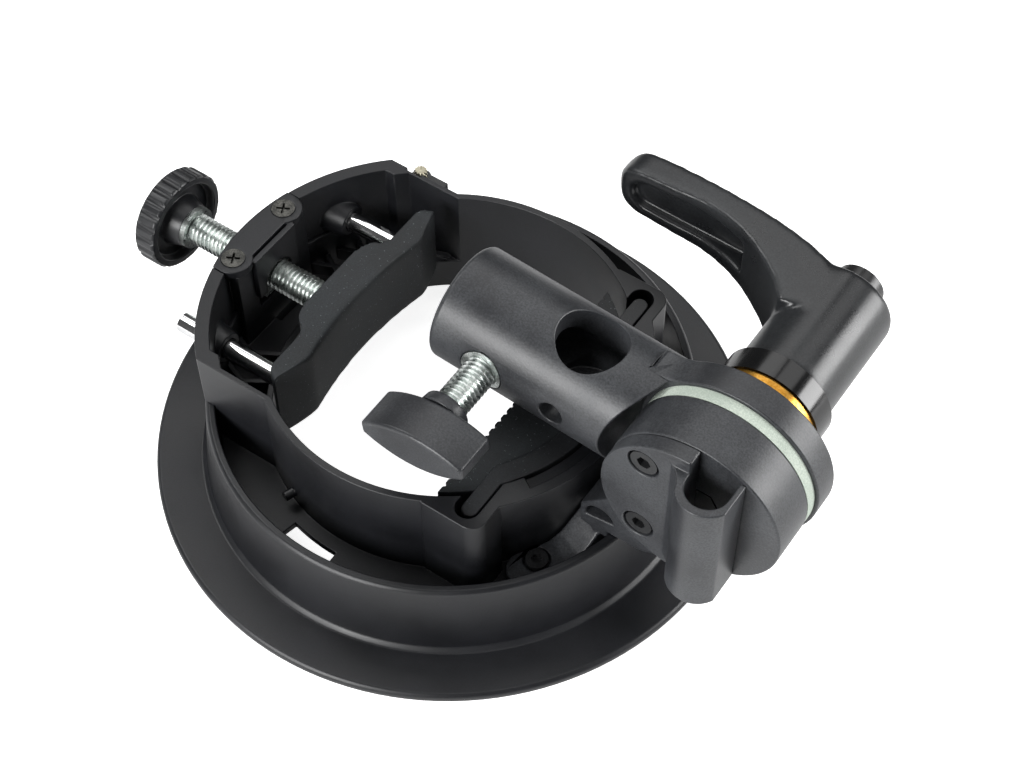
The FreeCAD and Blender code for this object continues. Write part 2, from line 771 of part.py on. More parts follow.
def support_bracket():
    """Cast bracket: two legs in the trough, a riser and the fixed tilt disc."""
    thickness = fixed_disc_back - fixed_disc_front
    disc = rod(fixed_disc_radius, Vector(pivot_x, fixed_disc_front, pivot_z), Y_WAY, thickness)
    bridge = sector(arm_inner_radius, arm_outer_radius, -ramp_top_angle, ramp_top_angle,
                    floor_top, ramp_top_height)
    lean = math.radians(215)
    left = Vector(pivot_x + fixed_disc_radius * math.cos(lean), fixed_disc_front,
                  pivot_z + fixed_disc_radius * math.sin(lean))
    low = math.radians(283)
    right = Vector(pivot_x + fixed_disc_radius * math.cos(low), fixed_disc_front,
                   pivot_z + fixed_disc_radius * math.sin(low))
    neck = prism(outline(
        Vector(arm_inner_radius + 1.0, fixed_disc_front, ramp_top_height - 3),
        Vector(arm_inner_radius + 1.0, fixed_disc_front, ramp_top_height + 4),
        left,
        Vector(pivot_x, fixed_disc_front, pivot_z),
        right,
        Vector(rim_radius + 5, fixed_disc_front, riser_bottom),
        Vector(arm_outer_radius - 1, fixed_disc_front, riser_bottom - 3)),
        Vector(0, thickness, 0))
    bracket = fused([disc, neck, bridge] + bracket_arm(-1) + bracket_arm(1))
    rim_space = sleeve(rim_radius + 25, well_radius - APART, Vector(0, 0, 0), Z_WAY,
                       dish_height + APART)
    ring_space = Part.makeCone(ring_inner_radius + ring_wall + APART, bulge_radius + APART,
                               ring_top - floor_top, Vector(0, 0, floor_top), Z_WAY)
    bracket = bracket.cut(rim_space).cut(ring_space)
    slot_x = arm_inner_radius + 6.2
    slot = outline(Vector(slot_x - riser_cut, fixed_disc_front - 1, ramp_top_height + 0.6),
                   (Vector(slot_x - 0.6, fixed_disc_front - 1, ramp_top_height + 5.4),
                    Vector(slot_x + riser_cut, fixed_disc_front - 1, ramp_top_height + 2.0)))
    bracket = bracket.cut(prism(slot, Vector(0, thickness / 2, 0)))
    axis = Vector(pivot_x, -40, pivot_z)
    bracket = bracket.cut(rod(bolt_radius + SEAT, axis, Y_WAY, 80))
    bracket = bracket.cut(hex_prism(bolt_head_flats + 2 * SEAT,
                                    Vector(pivot_x, fixed_disc_front, pivot_z),
                                    Y_WAY, bolt_head_height + SEAT))
    for side in (-1, 1):
        foot = polar(foot_screw_radius, side * foot_angle, 0)
        bracket = bracket.cut(rod(foot_screw_shank + SEAT, foot, Z_WAY, 30))
        seat = foot + Z_WAY * (floor_top + foot_height - 1.4)
        bracket = bracket.cut(rod(foot_screw_head + 0.5, seat, Z_WAY, 4))
        place = Vector(pivot_x + umbrella_screw_x, fixed_disc_front, pivot_z + side * umbrella_screw_z)
        bracket = bracket.cut(rod(umbrella_screw_shank + RUNNING, place, Y_WAY, 9))
    return bracket.removeSplitter()


def bracket_screws():
    screws = []
    for side in (-1, 1):
        seat = polar(foot_screw_radius, side * foot_angle, floor_top + foot_height - 1.4)
        head = rod(foot_screw_head, seat, Z_WAY, 1.8)
        shank = rod(foot_screw_shank, seat, Z_WAY * -1, foot_height + floor_thickness)
        screw = fused([head, shank])
        screws.append(screw.cut(hex_prism(2.4, seat + Z_WAY * 1.8, Z_WAY * -1, 1.2)))
    return Part.makeCompound(screws)


def umbrella_cover():
    """Cover of the fixed disc, with an upright half-open umbrella socket."""
    back = fixed_disc_front
    front = back - cover_plate_thickness
    plate = rod(cover_plate_radius, Vector(pivot_x, front, pivot_z), Y_WAY, cover_plate_thickness)
    seam = block(Vector(pivot_x - 40, front - 20, pivot_z - 40),
                 Vector(pivot_x + cover_seam_x, back + 1, pivot_z + 40))
    plate = plate.common(seam)
    axis_x = pivot_x + umbrella_x
    outer = umbrella_radius + umbrella_wall
    bottom = pivot_z + umbrella_bottom
    right_x = pivot_x + cover_seam_x
    right_turn = math.acos((right_x - axis_x) / outer)
    left_x = axis_x - outer - 5.0

    def at(place_x, place_y):
        return Vector(place_x, place_y, bottom)

    lean = math.radians(35)
    wall = prism(outline(
        at(left_x, back),
        at(left_x, front + 0.6),
        (at(axis_x - outer - 0.6, front - 1.4),
         at(axis_x - outer * math.cos(lean), umbrella_axis_y - outer * math.sin(lean))),
        (at(axis_x, umbrella_axis_y - outer),
         at(right_x, umbrella_axis_y - outer * math.sin(right_turn))),
        at(right_x, back)), Vector(0, 0, umbrella_top - umbrella_bottom))
    hole = prism(outline(
        at(axis_x - umbrella_radius, back + 1),
        at(axis_x - umbrella_radius, umbrella_axis_y),
        (at(axis_x, umbrella_axis_y - umbrella_radius), at(axis_x + umbrella_radius, umbrella_axis_y)),
        at(axis_x + umbrella_radius, back + 1)), Vector(0, 0, 60))
    hole.translate(Vector(0, 0, -10))
    above = block(Vector(axis_x - umbrella_radius, front - 1, pivot_z + umbrella_top),
                  Vector(right_x + 1, back + 1, pivot_z + 40))
    below = block(Vector(axis_x - umbrella_radius, front - 1, pivot_z - 40),
                  Vector(right_x + 1, back + 1, bottom))
    cover = fused([plate.cut(above).cut(below), wall]).cut(hole)
    for side in (-1, 1):
        place = Vector(pivot_x + umbrella_screw_x, front, pivot_z + side * umbrella_screw_z)
        cover = cover.cut(rod(umbrella_screw_shank + SEAT, place, Y_WAY, cover_plate_thickness))
        cover = cover.cut(rod(umbrella_screw_head + 0.5, place, Y_WAY, 2.8))
    return cover


def umbrella_cover_screws():
    screws = []
    for side in (-1, 1):
        seat = Vector(pivot_x + umbrella_screw_x, fixed_disc_front - cover_plate_thickness + 2.8,
                      pivot_z + side * umbrella_screw_z)
        head = rod(umbrella_screw_head, seat, Y_WAY * -1, 2.4)
        screw = fused([head, rod(umbrella_screw_shank, seat, Y_WAY, 9)])
        screws.append(screw.cut(hex_prism(3.0, seat - Y_WAY * 2.4, Y_WAY, 1.6)))
    return Part.makeCompound(screws)


def friction_washer():
    return sleeve(washer_radius, bolt_radius + SEAT, Vector(pivot_x, fixed_disc_back, pivot_z),
                  Y_WAY, -fixed_disc_back - RUNNING)


def tube_place():
    """Where the tube's own frame sits: x runs from its open end to the pivot."""
    turn = FreeCAD.Rotation(Y_WAY, tube_tilt)
    reach = turn.multVec(Vector(tube_to_pivot, 0, 0))
    return FreeCAD.Placement(Vector(pivot_x, 0, pivot_z) - reach, turn)


def placed(shape):
    """Copy of a shape from the tube's own frame to its place."""
    moved = shape.copy()
    moved.Placement = tube_place().multiply(shape.Placement)
    return moved


def tube_blends():
    """Two hollow fillets in which the tube widens into the turning disc."""
    centre_z = tube_radius + blend_radius
    reach = moving_disc_radius + blend_radius
    centre_x = tube_to_pivot - math.sqrt(reach ** 2 - centre_z ** 2)
    share = moving_disc_radius / reach
    touch = Vector(tube_to_pivot + (centre_x - tube_to_pivot) * share, 0, centre_z * share)
    middle = Vector(centre_x, 0, centre_z) + (
        (Vector(centre_x, 0, tube_radius) + touch) * 0.5 - Vector(centre_x, 0, centre_z)
    ).normalize() * blend_radius
    upper = prism(outline(
        Vector(centre_x, 0, tube_radius),
        (middle, touch),
        Vector(tube_to_pivot, 0, 0),
        Vector(centre_x, 0, 0)), Vector(0, moving_disc_back, 0))
    return [upper, upper.mirror(Vector(0, 0, 0), Z_WAY)]


def stand_socket():
    """Tube for the light stand, cast in one with the moving tilt disc."""
    origin = Vector(0, 0, 0)
    tube = rod(tube_radius, origin, X_WAY, tube_to_pivot - 6)
    edge = [item for item in tube.Edges if item.BoundBox.XMax < 0.1]
    tube = tube.makeChamfer(0.9, edge)
    pivot = Vector(tube_to_pivot, 0, 0)
    disc = rod(moving_disc_radius, pivot, Y_WAY, moving_disc_back)
    boss = rod(rear_boss_radius, pivot, Y_WAY, rear_boss_back)
    body = fused([tube, disc, boss] + tube_blends())
    scoop = Part.makeCone(scoop_radius + scoop_growth, scoop_radius, tube_radius + 1,
                          pivot - Y_WAY * (tube_radius + 1), Y_WAY)
    washer_room = rod(brass_radius + 1.5, pivot + Y_WAY * rear_boss_back, Y_WAY, 10)
    body = body.cut(scoop).cut(washer_room)
    body = body.cut(rod(tube_bore, origin, X_WAY, tube_bore_depth))
    body = body.cut(rod(cross_hole_radius, Vector(cross_hole_from_end, 0, tube_radius + 1),
                        Z_WAY * -1, cross_hole_depth))
    for place, radius in ((clamp_hole_from_end, insert_radius + SEAT),
                          (spare_hole_from_end, spare_hole_radius)):
        body = body.cut(rod(radius, Vector(place, -tube_radius - 1, 0), Y_WAY, tube_radius + 1))
    body = body.cut(rod(bolt_radius + RUNNING, pivot - Y_WAY, Y_WAY, 40))
    return placed(body)


def thread_inserts():
    """Steel thread insert in which the clamp screw turns."""
    outside = rod(tube_radius - 0.1, Vector(0, 0, 0), X_WAY, tube_to_pivot)
    inner = rod(tube_bore, Vector(0, 0, 0), X_WAY, tube_to_pivot)
    start = Vector(clamp_hole_from_end, -tube_radius - 1, 0)
    insert = sleeve(insert_radius, screw_radius + RUNNING, start, Y_WAY, tube_radius)
    return placed(insert.common(outside).cut(inner))


def stand_axis(place_y):
    """Point on the clamp screw's axis at a given y."""
    return tube_place().multVec(Vector(clamp_hole_from_end, place_y, 0))


def stand_screw():
    return rod(screw_radius, stand_axis(stand_knob_end + 3), Y_WAY,
               stand_screw_tip - stand_knob_end - 3)


def stand_knob():
    """Wing knob: a lens-shaped bar with a round collar."""
    width = stand_knob_half_width
    tip = stand_knob_tip_half
    mid = stand_knob_half_height
    depth = stand_knob_y - stand_knob_end
    lens = prism(outline(
        Vector(-width, 0, -tip),
        (Vector(0, 0, -mid), Vector(width, 0, -tip)),
        Vector(width, 0, tip),
        (Vector(0, 0, mid), Vector(-width, 0, tip))), Vector(0, -depth, 0))
    lens = lens.makeFillet(0.9, [edge for edge in lens.Edges if edge.BoundBox.YLength < 0.01])
    collar = Part.makeCone(stand_collar_radius, mid, stand_collar_y - stand_knob_y,
                           Vector(0, -0.01, 0), Y_WAY)
    knob = fused([lens, collar])
    knob.rotate(Vector(0, 0, 0), Y_WAY, -stand_knob_turn)
    knob.translate(stand_axis(stand_knob_y))
    return knob.cut(rod(screw_radius + RUNNING, stand_axis(stand_knob_end + 3), Y_WAY, 20))


def brass_washer():
    return sleeve(brass_radius, bolt_radius + SEAT,
                  Vector(pivot_x, rear_boss_back + RUNNING, pivot_z), Y_WAY,
                  brass_back - rear_boss_back - 2 * RUNNING)


def spacer_ring():
    return sleeve(spacer_radius, bolt_radius + SEAT, Vector(pivot_x, brass_back, pivot_z), Y_WAY,
                  spacer_back - brass_back)


def pivot_bolt():
    start = Vector(pivot_x, fixed_disc_front, pivot_z)
    head = hex_prism(bolt_head_flats, start, Y_WAY, bolt_head_height)
    return fused([head, rod(bolt_radius, start, Y_WAY, bolt_end - fixed_disc_front)])


def lever_insert():
    """Threaded and splined core that the lever turns on the bolt."""
    start = Vector(pivot_x, spacer_back + RUNNING, pivot_z)
    core = rod(insert_core_radius, start, Y_WAY, insert_core_back - start.y)
    core = core.cut(rod(bolt_radius + RUNNING, start, Y_WAY, bolt_end + 0.5 - start.y))
    return core.cut(rod(lever_shank_radius + 0.02, start, Y_WAY, 40))


def lever_cap_screw():
    """Screw that keeps the lever on its core; its head shows at the hub's end."""
    head_y = lever_cap_back - lever_cap_length
    head = rod(lever_cap_radius, Vector(pivot_x, head_y, pivot_z), Y_WAY, lever_cap_back - head_y)
    shank = rod(lever_shank_radius, Vector(pivot_x, bolt_end + 1, pivot_z), Y_WAY,
                head_y - bolt_end - 1)
    screw = fused([head, shank])
    return screw.cut(hex_prism(5.0, Vector(pivot_x, lever_cap_back, pivot_z), Y_WAY * -1, 2.5))


def lever_spring():
    """Spring that pulls the lever back down on its spline."""
    return sleeve(4.4, lever_shank_radius + APART, Vector(pivot_x, lever_shoulder_back, pivot_z),
                  Y_WAY, lever_cap_back - lever_cap_length - lever_shoulder_back)


def lever_side():
    """Side view of the lever's arm, in the plane through the pivot."""
    def at(back_x, place_y):
        return Vector(pivot_x + back_x, place_y, pivot_z - lever_hub_radius)

    return outline(
        at(-lever_length, 57.2),
        (at(-62.6, 60.0), at(-60, 61.1)),
        (at(-45, 60.6), at(-30, 58.9)),
        (at(-20, 57.1), at(-11, 54.6)),
        at(-6, lever_hub_back),
        at(4, 40),
        at(-10, 36.0),
        (at(-14.5, 41.2), at(-21, 46.2)),
        (at(-32, 51.6), at(-46, 53.0)),
        at(-60, 53.3),
        (at(-62.8, 54.2), at(-lever_length, 57.2)))


def lever_handle():
    """Cast lever: a curved arm on an upright hub."""
    hub = rod(lever_hub_radius, Vector(pivot_x, lever_hub_front, pivot_z), Y_WAY,
              lever_hub_back - lever_hub_front)
    arm = prism(lever_side(), Vector(0, 0, 2 * lever_hub_radius))
    tip_x = pivot_x - lever_length + lever_tip_half_width
    root_x = pivot_x
    tip = lever_tip_half_width
    root = lever_root_half_width
    plan = prism(outline(
        Vector(root_x, 0, pivot_z - root),
        Vector(tip_x, 0, pivot_z - tip),
        (Vector(tip_x - tip, 0, pivot_z), Vector(tip_x, 0, pivot_z + tip)),
        Vector(root_x, 0, pivot_z + root),
        (Vector(root_x + root, 0, pivot_z), Vector(root_x, 0, pivot_z - root))),
        Vector(0, 80, 0))
    arm = arm.common(plan)
    recess = prism(outline(
        Vector(pivot_x - 55, 50, pivot_z - 4.2),
        (Vector(pivot_x - 59.2, 50, pivot_z), Vector(pivot_x - 55, 50, pivot_z + 4.2)),
        Vector(pivot_x - 26, 50, pivot_z + 5),
        (Vector(pivot_x - 21, 50, pivot_z), Vector(pivot_x - 26, 50, pivot_z - 5))),
        Vector(0, 5.5, 0))
    handle = fused([hub, arm]).cut(recess)
    gap = lever_bore_clearance
    start = Vector(pivot_x, lever_hub_front - 1, pivot_z)
    handle = handle.cut(rod(insert_core_radius + gap, start, Y_WAY, lever_shoulder_front - start.y))
    handle = handle.cut(rod(lever_shank_radius + gap, start, Y_WAY, 40))
    cap_bore = rod(lever_cap_radius + gap, Vector(pivot_x, lever_shoulder_back, pivot_z), Y_WAY, 30)
    return handle.cut(cap_bore)


def lock_pin():
    """Sprung pin of the bayonet, with a knurled head to lift it by."""
    foot = Vector(lock_x, lock_y, lock_bottom)
    shaft = rod(lock_shaft_radius, foot, Z_WAY, lock_head_top - lock_bottom)
    head = rod(lock_head_radius, Vector(lock_x, lock_y, lock_head_bottom), Z_WAY,
               lock_head_top - lock_head_bottom)
    return fused([shaft, head])


def lock_clip():
    return sleeve(lock_clip_radius, lock_shaft_radius + 0.02,
                  Vector(lock_x, lock_y, lock_clip_height), Z_WAY, 0.6)


def lock_tab():
    """Finger tab fixed on the lock pin's head."""
    bottom = lock_head_bottom + 4
    collar = sleeve(lock_head_radius + 0.9, lock_head_radius + 0.02,
                    Vector(lock_x, lock_y, bottom), Z_WAY, 3)
    tab = block(Vector(lock_x + 1.9, lock_y - 0.7, bottom), Vector(lock_x + 7, lock_y + 1.9, bottom + 3))
    tab = tab.cut(rod(lock_head_radius + 0.02, Vector(lock_x, lock_y, bottom), Z_WAY, 3))
    return fused([collar, tab])


def lock_spring():
    """Open coil between the clip and the guide arm."""
    low = lock_clip_height + 0.6 + lock_wire_radius + 0.05
    high = lock_arm_bottom - lock_wire_radius - 0.05
    pitch = (high - low) / lock_spring_turns
    gap = pitch - 2 * lock_wire_radius
    print("lock spring least gap between turns %.2f" % gap)

    def at(turns):
        return polar(lock_spring_radius, 360 * turns, low + pitch * turns) + Vector(lock_x, lock_y, 0)

    arcs = []
    for index in range(2 * lock_spring_turns):
        first = index / 2
        arcs.append(Part.Arc(at(first), at(first + 0.25), at(first + 0.5)).toShape())
    path = Part.Wire(arcs)
    way = arcs[0].tangentAt(arcs[0].FirstParameter)
    across = way.cross(Z_WAY).normalize()
    over = across.cross(way)
    corners = []
    for index in range(lock_wire_sides):
        turn = 2 * math.pi * index / lock_wire_sides
        corners.append(at(0) + (across * math.cos(turn) + over * math.sin(turn)) * lock_wire_radius)
    return path.makePipeShell([outline(*corners)], True, False)


def main():
    os.makedirs("parts", exist_ok=True)
    makers = (
        bayonet_dish, ring_body, nut_cover, cover_screws, clamp_nut, clamp_screw, screw_clip,
        clamp_knob, knob_collar, pad_backing, clamp_pad, guide_rods, rod_clips, pad_carrier,
        fixed_pad, support_bracket, bracket_screws, umbrella_cover, umbrella_cover_screws,
        friction_washer, stand_socket, thread_inserts, stand_screw, stand_knob, brass_washer,
        spacer_ring, pivot_bolt, lever_insert, lever_cap_screw, lever_spring, lever_handle,
        lock_pin, lock_clip, lock_tab, lock_spring)
    for maker in makers:
        shape = maker()
        save(maker.__name__, shape)
        print("%-24s solids %d volume %9.1f valid %s" % (
            maker.__name__, len(shape.Solids), shape.Volume, shape.isValid()))


main()
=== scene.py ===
import math

import bmesh
import bpy
import numpy as np
from mathutils import Matrix, Vector
from mathutils.bvhtree import BVHTree


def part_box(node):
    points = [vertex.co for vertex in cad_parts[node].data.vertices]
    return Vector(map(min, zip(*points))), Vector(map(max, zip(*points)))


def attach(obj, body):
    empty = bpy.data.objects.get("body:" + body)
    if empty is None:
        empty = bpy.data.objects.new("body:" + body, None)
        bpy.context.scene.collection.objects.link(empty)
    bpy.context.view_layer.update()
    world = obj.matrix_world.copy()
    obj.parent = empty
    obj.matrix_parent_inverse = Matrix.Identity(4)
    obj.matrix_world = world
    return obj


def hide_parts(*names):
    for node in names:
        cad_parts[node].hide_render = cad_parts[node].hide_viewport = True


# Bracket for a portable flash head, in metres, built round its CAD frame.
# The ring's axis is Z, the open face of the dish lies on z = 0, the clamp
# knob is at -X and the tilting head at +X.
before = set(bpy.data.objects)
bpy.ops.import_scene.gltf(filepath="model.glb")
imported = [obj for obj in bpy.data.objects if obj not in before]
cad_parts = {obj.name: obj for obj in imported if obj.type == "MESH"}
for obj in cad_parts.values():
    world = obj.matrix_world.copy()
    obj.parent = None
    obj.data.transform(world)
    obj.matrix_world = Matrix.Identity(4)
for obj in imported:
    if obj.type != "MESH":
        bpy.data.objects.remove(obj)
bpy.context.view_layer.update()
MM = 0.001


# Ring body and bayonet dish: two mouldings in black glass-filled nylon, with
# the fine spark-eroded grain of the tool.  The ring drops into the dish and
# stands on its ledge, and both keep a small radius on every edge.
def linear(code):
    """Linear colour of an sRGB hex code."""
    parts = [int(code[place:place + 2], 16) / 255 for place in (1, 3, 5)]
    curve = [part / 12.92 if part <= 0.04045 else ((part + 0.055) / 1.055) ** 2.4
             for part in parts]
    return (*curve, 1.0)


def add(tree, kind, inputs, **settings):
    """Adds a shader node: a socket among its inputs is linked, a value is set."""
    node = tree.nodes.new(kind)
    for name, value in settings.items():
        setattr(node, name, value)
    for name, value in inputs.items():
        if isinstance(value, bpy.types.NodeSocket):
            tree.links.new(value, node.inputs[name])
        else:
            node.inputs[name].default_value = value
    return node


def surface(name, low, high, rough, grain, relief, metallic=0.0, cloud=18.0, flecks=None):
    """Finish with a clouded colour and a grain in relief.

    Grain, relief and cloud are real sizes in millimetres.
    """
    low_tone, high_tone = 0.16, 0.36
    fleck_size = 0.55
    fleck_start, fleck_full = 0.71, 0.76
    rough_spread = 0.05
    material = bpy.data.materials.new(name)
    material.use_nodes = True
    tree = material.node_tree
    tree.nodes.clear()
    place = add(tree, "ShaderNodeTexCoord", {}).outputs["Object"]
    drift = add(tree, "ShaderNodeTexNoise",
                {"Vector": place, "Scale": 1000 / cloud, "Detail": 3.0, "Roughness": 0.55})
    fine = add(tree, "ShaderNodeTexNoise",
               {"Vector": place, "Scale": 1000 / grain, "Detail": 2.0, "Roughness": 0.6})
    both = add(tree, "ShaderNodeMath", {0: drift.outputs["Fac"], 1: fine.outputs["Fac"]},
               operation="MULTIPLY")
    tone = add(tree, "ShaderNodeValToRGB", {"Fac": both.outputs[0]})
    dark, light = tone.color_ramp.elements
    dark.position, dark.color = low_tone, linear(low)
    light.position, light.color = high_tone, linear(high)
    colour = tone.outputs["Color"]
    if flecks:
        dust = add(tree, "ShaderNodeTexNoise",
                   {"Vector": place, "Scale": 1000 / fleck_size, "Detail": 1.0})
        picked = add(tree, "ShaderNodeMapRange",
                     {"Value": dust.outputs["Fac"], "From Min": fleck_start,
                      "From Max": fleck_full})
        mixed = add(tree, "ShaderNodeMix",
                    {"Factor": picked.outputs["Result"], "A": colour, "B": linear(flecks)},
                    data_type="RGBA")
        colour = mixed.outputs["Result"]
    matt = add(tree, "ShaderNodeMapRange",
               {"Value": drift.outputs["Fac"], "From Min": 0.3, "From Max": 0.7,
                "To Min": rough - rough_spread, "To Max": rough + rough_spread})
    bump = add(tree, "ShaderNodeBump",
               {"Height": fine.outputs["Fac"], "Distance": relief * MM, "Strength": 1.0})
    shader = add(tree, "ShaderNodeBsdfPrincipled",
                 {"Base Color": colour, "Roughness": matt.outputs["Result"],
                  "Normal": bump.outputs["Normal"], "Metallic": metallic})
    add(tree, "ShaderNodeOutputMaterial", {"Surface": shader.outputs["BSDF"]})
    return material


def piece_from(mesh_maker, name, crease=32):
    """New object from a bmesh, shaded smooth except over edges past a crease angle."""
    mesh = bpy.data.meshes.new(name)
    mesh_maker.to_mesh(mesh)
    mesh_maker.free()
    mesh.shade_smooth()
    mesh.set_sharp_from_angle(angle=math.radians(crease))
    piece = bpy.data.objects.new(name, mesh)
    bpy.context.scene.collection.objects.link(piece)
    return piece


def fit(piece, material, body, slot, *nodes):
    """Gives a piece its finish and its body, and hides the CAD nodes that it stands for."""
    piece.data.materials.clear()
    piece.data.materials.append(material)
    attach(piece, body)
    if nodes:
        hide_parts(*nodes)


def joined_copy(node, merge=0.002, whole=True):
    """Merged copy of a CAD node's mesh, with its flat faces whole again if asked."""
    flat_within = math.radians(0.6)
    bm = bmesh.new()
    bm.from_mesh(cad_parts[node].data)
    bmesh.ops.remove_doubles(bm, verts=bm.verts, dist=merge * MM)
    bmesh.ops.dissolve_degenerate(bm, edges=bm.edges, dist=merge * MM)
    if whole:
        bmesh.ops.dissolve_limit(bm, angle_limit=flat_within, verts=bm.verts, edges=bm.edges)
    return bm


def rounded(name, node, radius, merge=0.002, whole=True):
    """The CAD node's shape with a radius on its edges, and no point thrown off it."""
    least_fold, most_fold = math.radians(30), math.radians(150)
    stray_share = 0.6
    bm = joined_copy(node, merge, whole)
    hull = BVHTree.FromBMesh(bm)
    edges = [edge for edge in bm.edges if len(edge.link_faces) == 2
             and least_fold < edge.calc_face_angle() < most_fold]
    bmesh.ops.bevel(bm, geom=edges, offset=radius * MM, offset_type="OFFSET", affect="EDGES",
                    segments=2, profile=0.5, material=-1, clamp_overlap=False)
    for vert in bm.verts:
        near, _, _, gap = hull.find_nearest(vert.co)
        if gap > stray_share * radius * MM:
            vert.co = near
    piece = piece_from(bm, name, crease=50)
    flatten = piece.modifiers.new("flat faces first", "WEIGHTED_NORMAL")
    flatten.keep_sharp = True
    return piece


def finish_node(material, *nodes):
    """Gives CAD nodes that show as they are their finish."""
    for node in nodes:
        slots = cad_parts[node].data.materials
        slots.clear()
        slots.append(material)


moulded_nylon = surface("moulded_nylon", "#101114", "#191a1e", 0.42, 0.35, 0.012)
dish = rounded("dish", "bayonet_dish", 0.35)
fit(dish, moulded_nylon, "bracket", "moulded_plastic", "bayonet_dish")
ring = rounded("ring", "ring_body", 0.28, merge=0.12)
fit(ring, moulded_nylon, "bracket", "moulded_plastic", "ring_body")


# Saddle over the clamp nut, moulded in the same nylon, and its two
# countersunk cross-head screws in dull nickel.  The zinc-plated nut sits in
# the block below it.
def skin(bm, below, above):
    """Closes the band between two loops of as many points."""
    for place, (first, second) in enumerate(zip(below, above)):
        after = (place + 1) % len(below)
        bm.faces.new((first, below[after], above[after], second))


dull_nickel = surface("dull_nickel", "#3f3f3d", "#6c6b67", 0.4, 0.4, 0.01, metallic=1.0,
                      cloud=2.0)
saddle = rounded("saddle", "nut_cover", 0.2, whole=False)
fit(saddle, moulded_nylon, "bracket", "moulded_plastic", "nut_cover")
zinc_plate = surface("zinc_plate", "#b6bdba", "#eef2ef", 0.3, 0.5, 0.006, metallic=1.0,
                     cloud=3.0)
low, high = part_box("cover_screws")
head_radius = 2.9 * MM
shank_radius = 1.25 * MM
sides = 40
arm_reach = 1.75
arm_half_width = 0.32
recess_taper = 0.7
recess_depth = 1.1 * MM
recess_turn = 0.5
turns = [place * math.tau / sides for place in range(sides)]
bm = bmesh.new()
for side in (-1, 1):
    middle = Vector(((low.x + high.x) / 2, side * (high.y - head_radius), high.z))
    rings = []
    for reach, depth in ((head_radius, 0.0), (shank_radius, head_radius - shank_radius),
                         (shank_radius, high.z - low.z)):
        rings.append([bm.verts.new(middle + Vector((reach * math.cos(turn),
                                                    reach * math.sin(turn), -depth)))
                      for turn in turns])
    recess = []
    for scale, depth in ((1.0, 0.0), (recess_taper, recess_depth)):
        loop = []
        for quarter in range(4):
            spin = Matrix.Rotation(quarter * math.pi / 2 + recess_turn, 3, "Z")
            for x, y in ((arm_reach, -arm_half_width), (arm_reach, arm_half_width),
                         (arm_half_width, arm_half_width)):
                corner = Vector((x * scale * MM, y * scale * MM, -depth))
                loop.append(bm.verts.new(middle + spin @ corner))
        recess.append(loop)
    for upper, lower in (rings[:2], rings[1:], recess):
        skin(bm, upper, lower)
    bm.faces.new(recess[1])
    bm.faces.new(rings[2][::-1])
    rim = [edge for edge in bm.edges if edge.is_boundary]
    bmesh.ops.triangle_fill(bm, edges=rim, use_beauty=True, normal=(0, 0, 1))
bmesh.ops.recalc_face_normals(bm, faces=bm.faces)
cross_screws = piece_from(bm, "cross_screws")
fit(cross_screws, dull_nickel, "bracket", "zinc_steel", "cover_screws")
finish_node(zinc_plate, "clamp_nut")


# Clamp screw: a zinc-plated M8 rod with a rolled thread, turned by a fluted
# cup knob that is pinned to it with a plain collar.
def threaded_rod(name, start, way, length, radius, pitch):
    """Rod whose thread is one pitch of its profile, spun along the axis."""
    depth_per_pitch = 0.613
    steps = 36
    weld = 0.01 * MM
    bm = bmesh.new()
    root = radius - depth_per_pitch * pitch
    profile = ((radius, 0.0), (radius, 0.125), (root, 0.4375), (root, 0.6875), (radius, 1.0))
    verts = [bm.verts.new((reach, 0, (share - 1) * pitch)) for reach, share in profile]
    edges = [bm.edges.new(pair) for pair in zip(verts, verts[1:])]
    turns = math.ceil(length / pitch) + 2
    bmesh.ops.spin(bm, geom=verts + edges, cent=(0, 0, 0), axis=(0, 0, 1),
                   angle=math.tau * turns, dvec=(0, 0, pitch / steps), steps=steps * turns)
    bmesh.ops.remove_doubles(bm, verts=bm.verts, dist=weld)
    for height, side in ((0.0, -1), (length, 1)):
        bmesh.ops.bisect_plane(bm, geom=bm.verts[:] + bm.edges[:] + bm.faces[:],
                               plane_co=(0, 0, height), plane_no=(0, 0, side),
                               clear_outer=True)
        rim = [edge for edge in bm.edges if edge.is_boundary
               and all(abs(vert.co.z - height) < weld for vert in edge.verts)]
        bmesh.ops.edgeloop_fill(bm, edges=rim)
    bmesh.ops.recalc_face_normals(bm, faces=bm.faces)
    turn = Vector((0, 0, 1)).rotation_difference(Vector(way)).to_matrix().to_4x4()
    bmesh.ops.transform(bm, matrix=Matrix.Translation(start) @ turn, verts=bm.verts)
    return piece_from(bm, name)


low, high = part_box("clamp_screw")
screw_radius = 4.0 * MM
screw_pitch = 1.25 * MM
short_of_neck_end = 2.2 * MM
clamp_rod = threaded_rod("clamp_rod", Vector((low.x, 0, (low.z + high.z) / 2)), (1, 0, 0),
                         high.x - short_of_neck_end - low.x, screw_radius, screw_pitch)
fit(clamp_rod, zinc_plate, "clamp_spindle", "zinc_steel", "clamp_screw")
knob_plastic = surface("knob_plastic", "#17181a", "#222326", 0.36, 0.5, 0.01)
clamp_wheel = rounded("clamp_wheel", "clamp_knob", 0.22)
fit(clamp_wheel, knob_plastic, "clamp_spindle", "gloss_plastic", "clamp_knob")
finish_node(zinc_plate, "knob_collar", "screw_clip")


# Moving pad: soft black rubber moulded round a steel plate.  Two chromed
# guide rods hold it square, and snap rings keep them in the rubber.
rubber = surface("rubber", "#191b1d", "#262a2d", 0.62, 0.3, 0.02, flecks="#5b6163")


